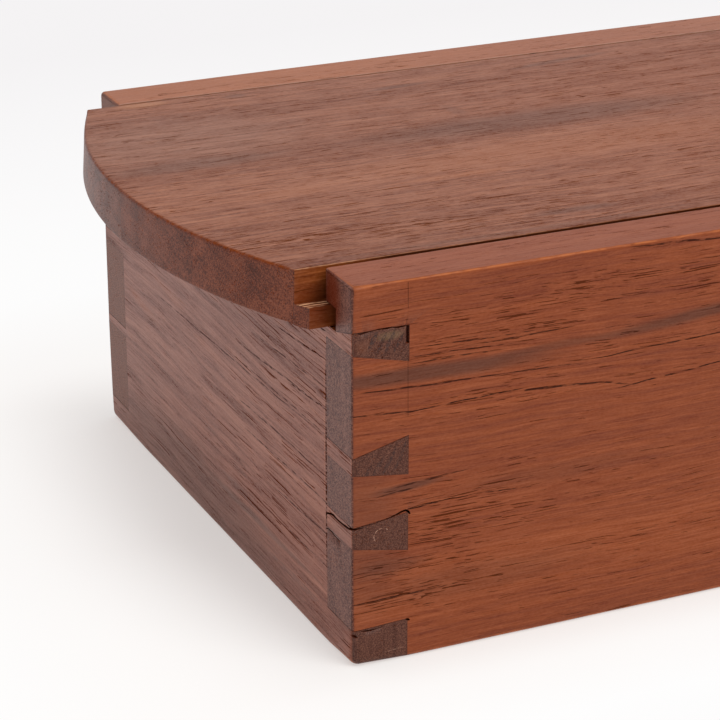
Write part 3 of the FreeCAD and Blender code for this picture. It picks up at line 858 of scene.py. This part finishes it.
endWood = makeWood(
    "oiledMahoganyOpenEnd",
    "YZX",
    tilt=-0.6,
    heart=(4, -71),
    dark="#632b16",
    middle="#843e20",
    light="#9c4f26",
    endDark="#391608",
    endMiddle="#4e2412",
    endLight="#653620",
    nick="#a9806d",
    vein="#2a100a",
    olive="#6b5036",
    endRings=(60, 0.8, 0.22),
    endDots=(8, 0.26, 0.78),
    endSpread=0.12,
    spread=0.12,
    pore="#471c0e",
    dulling={"pore": 1, "band": 0.3},
    endRoughness=0.2,
    roughness=0.36,
    gloss=0.38,
    rings=(400, 6, 0.2, 1.2),
    streaks=(45, 1.5, 0.32, 1.8),
    fibres=(12, 0.3, 0.3, 2.6),
    specks=(0.7, 0.32, 0.12, 1.6),
    longPores=(60, 0.34),
    shortPores=(26, 0.28),
    zones=several(onEnd, [
        (116, 22, 44, 22, 0, 0.05), (120, 52, 34, 18, 0, 0.04), (134, 45, 9, 40, 0, 0.05),
        (40, 49, 50, 34, 0, -0.06), (95, 76, 60, 8, 0, -0.05),
    ]),
    marks=[
        onEnd(55, 77, 75, 15, 0, 0.4, "band"),
        onEnd(92, 69.5, 44, 1.2, 0.5, 0.5, "band"),
        onEnd(108, 63, 26, 9, 0, 0.25, "middle"),
        *several(onEnd, [
            (24, 44, 14, 1.6, -8, 0.45), (40, 35, 16, 1.4, -5, 0.4), (66, 40, 14, 1.3, -4, 0.35),
        ], "light"),
        *several(onEnd, [
            (80, 66, 12, 1, 0, 0.5), (52, 70, 12, 1, 0, 0.5), (112, 74, 16, 0.9, 1, 0.5),
        ], "dark"),
        onEnd(128.5, 42, 27, 0.4, 90, 1, "pore"),  # the seam beside the tails
        onEnd(127.7, 36, 26, 0.35, 90, 0.6, "light"),
        onEnd(136, 45, 8, 44, 0, 0.3, "dark"),
        *several(onEnd, [
            (117, 20, 16, 0.22, 4, 1), (110, 26, 22, 0.2, 3, 0.9), (113, 50, 34, 0.22, 0.8, 0.9),
            (120, 64, 16, 0.22, 0.5, 0.9), (80, 37, 55, 0.22, 1.5, 0.9), (104, 35.5, 30, 0.2, 1, 0.9),
            (104, 44.5, 30, 0.22, 1, 0.9), (120, 14, 12, 0.3, 7, 1), (122, 30, 14, 0.3, 5, 1),
            (102, 31, 24, 0.26, 3, 0.9), (118, 57, 20, 0.28, 2, 0.9),
        ], "pore"),
    ],
    endMarks=[
        onFront(8, 10.9, 4, 1.3, 4, 0.6, "olive"),
        onFront(2.5, 12.4, 3, 2, 0, 0.6, "endLight"),
        *several(onFront, [
            (4.3, 11.6, 2.4, 0.6, 62, 0.8), (6.2, 12.2, 2.6, 0.4, 64, 0.7), (8, 12, 2.6, 0.5, 62, 0.7),
            (9.8, 12.6, 2.4, 0.4, 58, 0.7),
        ], "vein"),
        onFront(9, 78.6, 2.4, 0.14, 5, 0.45, "nick"),
        *several(onFront, [
            (3.4, 38.8, 2, 0.4, 58, 0.6), (5.6, 38, 2.8, 0.45, 62, 0.6),
            (8, 37, 3.6, 0.5, 64, 0.6), (10.3, 36.4, 3.8, 0.4, 66, 0.6),
        ], "vein"),
        *nickMarks(),
    ],
)
closedWood = makeWood("oiledMahoganyClosedEnd", "YZX", origin=(300, 40, 90), tilt=-0.7, heart=(120, -140))
panelWood = makeWood(
    "sandedMahoganyBottom", "XYZ", origin=(-60, 20, 400), heart=(0, 340), roughness=0.6, gloss=0.25
)

# The lid's top is the finest worked: short fibres and hardly an open pore
lidLook = {
    "dark": "#5c2a17",
    "middle": "#7e3d12",
    "light": "#9d5626",
    "rubbed": "#b27245",
    "raw": "#e3b088",
    "shady": "#6c2b0f",
    "pore": "#3f1c0e",
    # painted sheen: a grey-pink veil of reflected light
    "hazy": "#8c6757",
    # warm: painted fall of the reflection, warmer and duller towards the right
    "warm": "#8c4418",
    "rings": (400, 7, 0.24, 1.3),
    "streaks": (40, 1.2, 0.26, 1.6),
    "fibres": (8, 0.38, 0.34, 2.3),
    "specks": (0.8, 0.4, 0.1, 1.9),
    "mottle": (6, 5, 0.06, 1),
    "spread": 0.14,
    "dulling": {"pore": 0.8, "band": 0.3, "warm": 0.8, "shady": 0.5},
    "longPores": (14, 0.3),
    "shortPores": (6, 0.3),
    "poreLevel": 0.72,
    "poreStrength": 0.6,
    "flutter": 1.3,
    "endRings": (60, 0.8, 0.15),
    "endDots": (8, 0.3, 0.6),
    "endMottle": 0.25,
    "endSpread": 0.11,
    "endSheen": 1.5,
}
lidFrontWood = makeWood(
    "oiledMahoganyLidFront",
    "XYZ",
    origin=(0, 0, 500),
    tilt=0.3,
    heart=(30, 440),
    zones=[onLid(50, -42, 60, 14, 0, 0.06)],
    marks=[
        onLid(100, -9, 80, 11, 0, 0.4, "light"),
        # painted: the reflection weaker towards the right
        onLid(180, -30, 140, 60, 0, 0.25, "warm"),
        onLid(70, -18, 22, 2, 0, 0.5, "light"),
        # painted sheen: a pale streak of reflected light
        onLid(30, -14, 16, 3, 0, 0.3, "light"),
        onLid(80, -47.5, 14, 2.2, 0, 0.5, "band"),
        onLid(60, -54.5, 60, 1.2, 0, 0.35, "band"),
        ("YZ", (-58.6, 73.2), (3.2, 8.2), 0, 0.85, "shady"),  # painted shade on the shoulder and the tongue
        ("XZ", (-137.5, 73.5), (6.5, 7.4), 0, 0.45, "pore"),  # and where the side's end shades them
        *several(onLid, [
            (16, -57.7, 7, 0.45, 0, 1), (17, -58.8, 6, 0.3, 0, 0.9), (15, -59.7, 5, 0.25, 0, 0.7),
        ], "raw"),
    ],
    # the front board's arris paler and brighter: a painted highlight along its shoulder, partly wear
    **{**lidLook, "rubbed": "#d8a377", "endDark": "#431a0a", "endMiddle": "#652a10", "endLight": "#854326"},
)
lidBackWood = makeWood(
    "oiledMahoganyLidBack",
    "XYZ",
    origin=(0, 0, -300),
    tilt=-0.2,
    heart=(10, -240),
    marks=[
        # painted: the reflection weaker towards the right
        onLid(190, 20, 140, 60, 0, 0.25, "warm"),
        onLid(102, 11, 60, 9, 0, 0.5, "band"),
        onLid(20, 11, 30, 5, 0, 0.45, "band"),
        # painted sheen near the bow
        onLid(24, 28, 40, 24, 0, 0.25, "hazy"),
        *several(onLid, [
            (84, 46, 11, 1.6, 4, 0.5), (128, 50, 20, 1.8, 8, 0.5), (47, 54, 4, 2.5, 0, 0.4),
        ], "band"),
        onLid(25, 56, 9, 2.5, 0, 0.5, "rubbed"),
        onLid(88, 24, 2.5, 6, 10, 0.25, "band"),
    ],
    # painted sheen on the left of the bow's face
    endMarks=[onEnd(20, 5.5, 16, 7, 0, 0.3, "hazy")],
    **{**lidLook, "spread": 0.17, "endDark": "#452015", "endMiddle": "#65311e", "endLight": "#844c36"},
)
print("woods ready")

dressBoard("side_front", "sideFront", frontWood, 0, (openFace, closedFace), isCracked=True)
dressBoard("side_back", "sideBack", backWood, 0, (openFace, closedFace))
dressBoard("end_open", "endOpen", endWood, 1, (frontFace, backFace), isCracked=True)
dressBoard("end_closed", "endClosed", closedWood, 1, (frontFace, backFace))

panel = newPiece("bottomPanel", solidCopy("bottom_panel"))
panel.data.materials.append(panelWood)
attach(panel, "case")
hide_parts("bottom_panel")


# Lid: two boards, laid out straight and then drawn back to the bow
lid = {
    "tongue": 3.5,  # from the shoulder to the edge of the tongue
    "backTongue": 2.5,
    "tongueThickness": 4.3,
    "rearTongue": 3.5,
    "bowRadius": 134,
    "bowOffset": 2.8,  # from the middle of the box to the middle of the bow
    "lean": 0.28,  # how far the bow's face leans back at its top
    "ease": 0.95,  # the same at the far corner
    "easeFrom": 30,
    "easeTo": 55,
    "bowDepth": 70,
    "arris": 0.35,
    "foot": 0.35,
    "footHeight": 4,
    "unevenness": 0.15,
    "gapFrom": 0.15,  # under the lid's top, where its side in the near gap beside it is painted dark as shade
    "farGapFrom": 1.0,  # and where the far one does
    "shoulderArris": -0.15,  # how much rounder the arrises are over the shoulders: a little sharper
    "bowArris": 0.35,  # and round the bow
    "paleReach": 14,  # how far from the bow the front shoulder's arris is paler: worn, and a painted highlight
    "paleFade": 0.7,  # how much less pale it is farther on
    "ripple": 0.05,
    "seed": 8.0,
    "edgeLines": (0.0, 0.1, 0.22, 0.38, 0.6, 1.0),  # where the mesh is cut beside the edges
    "arrisReach": 1.2,  # how far from a shoulder or from the bow its arris ends
    "bowStations": (1.6, 2.5, 4, 6, 9, 13, 18, 24, 31, 39, 48, 58, 70, 85),  # cuts behind the bow
    "evenStations": 20,  # spans between those and the rear shoulder
    "middleRow": 7,  # a cut in the lid's thickness
    "step": 2.5,  # between the cuts across the lid
    "leastStep": 0.04,
}


def blockMesh(stations, columns, rows, isFilled):
    # the skin of the filled cells of an uneven grid
    shape = bmesh.new()
    corners = {}

    def corner(i, j, k):
        if (i, j, k) not in corners:
            corners[i, j, k] = shape.verts.new((stations[i], columns[j], rows[k]))
        return corners[i, j, k]

    counts = (len(stations) - 1, len(columns) - 1, len(rows) - 1)
    middles = [[(a + b) / 2 for a, b in zip(line, line[1:])] for line in (stations, columns, rows)]

    def filled(cell):
        if any(place < 0 or place >= count for place, count in zip(cell, counts)):
            return False
        return isFilled(*(line[place] for line, place in zip(middles, cell)))

    for i in range(counts[0]):
        for j in range(counts[1]):
            for k in range(counts[2]):
                if not filled((i, j, k)):
                    continue
                for axis in range(3):
                    for ahead in (0, 1):
                        cell = [i, j, k]
                        cell[axis] += 2 * ahead - 1
                        if filled(tuple(cell)):
                            continue
                        one, other = [(1, 2), (2, 0), (0, 1)][axis]
                        ring = []
                        for first, second in ((0, 0), (1, 0), (1, 1), (0, 1)):
                            place = [i, j, k]
                            place[axis] += ahead
                            place[one] += first
                            place[other] += second
                            ring.append(corner(*place))
                        shape.faces.new(ring if ahead else ring[::-1])
    return shape


lidLow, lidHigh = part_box("lid_front_board")[0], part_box("lid_back_board")[1]
lidLow.z, lidHigh.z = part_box("lid_back_board")[0].z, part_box("lid_back_board")[1].z
tongueTop = lidLow.z + lid["tongueThickness"] * mm
frontShoulder = lidLow.y + lid["tongue"] * mm
backShoulder = lidHigh.y - lid["backTongue"] * mm
rearShoulder = lidHigh.x - lid["rearTongue"] * mm


def inLid(x, y, z):
    inField = frontShoulder < y < backShoulder
    if z > tongueTop:
        return inField and x < rearShoulder
    return inField or x < rearShoulder


def dressLid(node, name, material):
    low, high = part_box(node)
    near = [edge * mm for edge in lid["edgeLines"]]
    stations = [lidLow.x + edge for edge in near]
    stations += [lidLow.x + place * mm for place in lid["bowStations"]]
    start, spans = stations[-1], lid["evenStations"]
    stations += [start + (rearShoulder - near[-1] - start) * number / spans for number in range(1, spans)]
    stations += [rearShoulder - edge for edge in near[::-1]] + [lidHigh.x]
    columns = {round(low.y, 7), round(high.y, 7)}
    for place in (frontShoulder, backShoulder):
        for edge in near:
            columns |= {round(place + edge, 7), round(place - edge, 7)}
    count = round((high.y - low.y) / (lid["step"] * mm))
    columns |= {round(low.y + (high.y - low.y) * number / count, 7) for number in range(count)}
    columns = sorted(place for place in columns if low.y - 1e-6 < place < high.y + 1e-6)
    least = lid["leastStep"] * mm
    columns = [place for place, after in zip(columns, columns[1:] + [1.0]) if after - place > least]
    rows = [lidLow.z + edge for edge in near]
    rows += [tongueTop, lidLow.z + lid["middleRow"] * mm]
    rows += [lidHigh.z - edge for edge in near[::-1]]
    shape = blockMesh(stations, columns, rows, inLid)
    gap = shape.verts.layers.float.new("gap")
    knocked = shape.verts.layers.float.new("knocked")
    for vert in shape.verts:
        fromShoulder = min(abs(vert.co.y - frontShoulder), abs(vert.co.y - backShoulder))
        if fromShoulder < lid["arrisReach"] * mm:
            vert[knocked] = lid["shoulderArris"] * mm
        elif vert.co.x - lidLow.x < lid["arrisReach"] * mm:
            vert[knocked] = lid["bowArris"] * mm
        # the lid's side in the gaps beside the case's sides, painted dark as shade
        isBeside = fromShoulder < 0.01 * mm and vert.co.x > openFace
        under = lid["gapFrom"] if vert.co.y < 0 else lid["farGapFrom"]
        if isBeside and tongueTop < vert.co.z < lidHigh.z - under * mm:
            vert[gap] = 1.0
    piece = newPiece(name, shape)
    envelopeLow = Vector((lidLow.x, frontShoulder, lidLow.z))
    envelopeHigh = Vector((rearShoulder, backShoulder, lidHigh.z))
    runTree(piece, wornTree, wearValues(envelopeLow, envelopeHigh, lid, material))
    places = {"crown": lidLow.x, "low": lidLow.z, "high": lidHigh.z}
    sizes = {label: lid[label] * mm for label in bowSizes}
    runTree(piece, bowTree, {**places, **sizes, "material": material})
    rim = piece.data.attributes.new("rim", "FLOAT", "POINT")
    # the front shoulder's arris keeps its paleness, worn and painted highlight, fading away from the bow; on
    # the other arrises it goes to the bow's rim
    for vert, wornAndGlint, rimmed in zip(piece.data.vertices, piece.data.attributes["wearAndGlint"].data, rim.data):
        if abs(vert.co.y - frontShoulder) < lid["arrisReach"] * mm:
            away = (vert.co.x - openFace) / (lid["paleReach"] * mm)
            wornAndGlint.value *= 1 - lid["paleFade"] * min(max(away, 0.0), 1.0)
        else:
            rimmed.value = wornAndGlint.value if vert.co.x < openFace else 0.0
            wornAndGlint.value = 0.0
    smoothed(piece)
    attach(piece, "lid")
    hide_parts(node)
    print(name, "ready:", len(piece.data.polygons), "faces")


dressLid("lid_front_board", "lidFrontBoard", lidFrontWood)
dressLid("lid_back_board", "lidBackBoard", lidBackWood)

print("scene ready")
